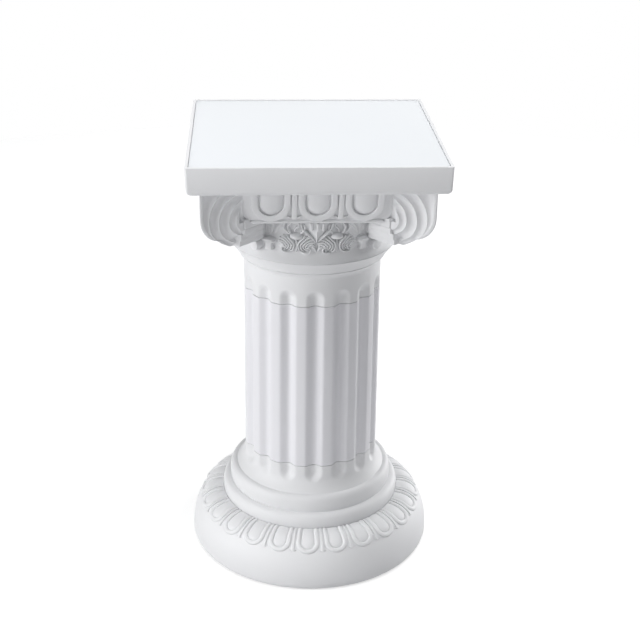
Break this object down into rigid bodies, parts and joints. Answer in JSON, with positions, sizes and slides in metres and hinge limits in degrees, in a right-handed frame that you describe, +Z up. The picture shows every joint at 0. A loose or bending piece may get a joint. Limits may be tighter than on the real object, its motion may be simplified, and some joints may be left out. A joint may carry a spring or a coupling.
{
  "type": "pedestal column stand",
  "caption": "Moulded classical column stand: bell base with egg ornament, fluted shaft tube, capital with corner volutes and a square tray with a lift-out panel.",
  "frame": {"origin": "centre of the foot ring on the floor, on the column axis", "axes": "+Z up along the column axis, -Y towards the front of the stand, +X to the right seen from the front"},
  "size_m": [0.265, 0.265, 0.466],
  "materials": {
    "moulding": "satin white moulding",
    "shaft": "satin white moulding, a little cooler",
    "panel": "smooth bluish white sheet",
    "screw": "zinc plated"
  },
  "bodies": {
    "base_body": {"base": "moulding"},
    "shaft_body": {"shaft_tube": "shaft"},
    "capital_body": {"capital": "moulding", "top_tray": "moulding", "tray_screw_1": "screw", "tray_screw_2": "screw", "tray_screw_3": "screw", "tray_screw_4": "screw"},
    "panel_body": {"top_panel": "panel"}
  },
  "joints": [
    {"name": "shaft_lift", "type": "slide", "parent": "base_body", "child": "shaft_body", "axis": [0, 0, 1], "range_m": [0, 0.04]},
    {"name": "capital_lift", "type": "slide", "parent": "shaft_body", "child": "capital_body", "axis": [0, 0, 1], "range_m": [0, 0.04]},
    {"name": "panel_lift", "type": "slide", "parent": "capital_body", "child": "panel_body", "axis": [0, 0, 1], "range_m": [0, 0.03]}
  ]
}
